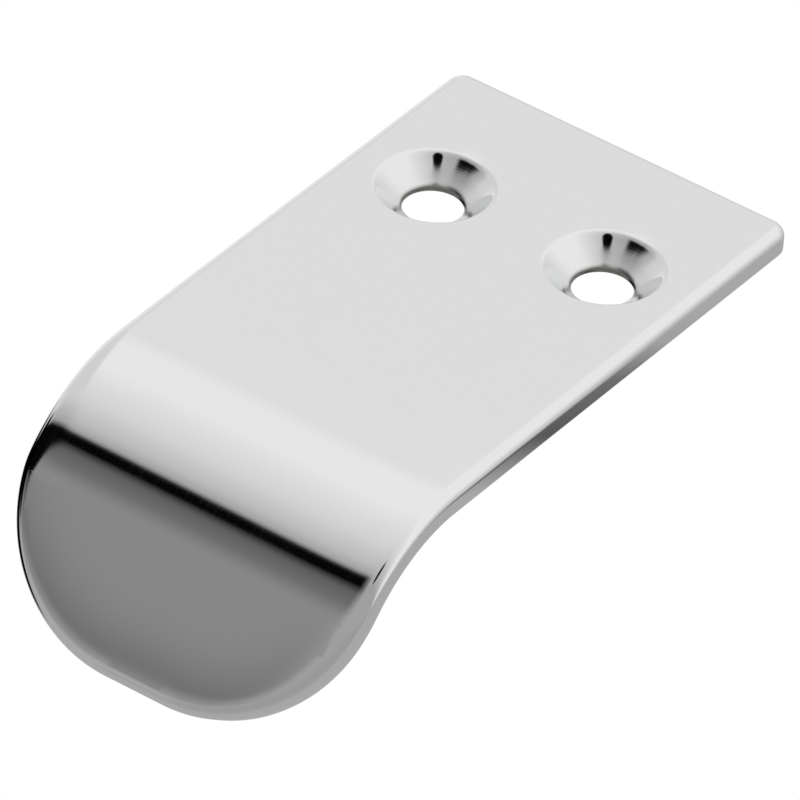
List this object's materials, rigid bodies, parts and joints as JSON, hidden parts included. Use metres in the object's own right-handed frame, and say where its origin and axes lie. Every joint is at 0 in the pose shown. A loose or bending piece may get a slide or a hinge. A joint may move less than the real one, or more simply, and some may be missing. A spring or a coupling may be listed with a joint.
{
  "type": "sash lift handle",
  "caption": "Edge-fixed sash lift: a flat countersunk plate whose rounded front end bends down into a finger lip, bright plated.",
  "frame": {"origin": "on the underside of the plate, midway between the two screw holes", "axes": "+Z out of the face the screws enter, so the sash is below; +X across the plate; -Y towards the finger lip, which hangs below the underside"},
  "size_m": [0.032, 0.0629, 0.0173],
  "materials": {
    "bright_plating": "mirror polished and bright plated, faint buffing marks"
  },
  "bodies": {
    "root": {"lift_plate": "bright_plating"}
  },
  "joints": []
}
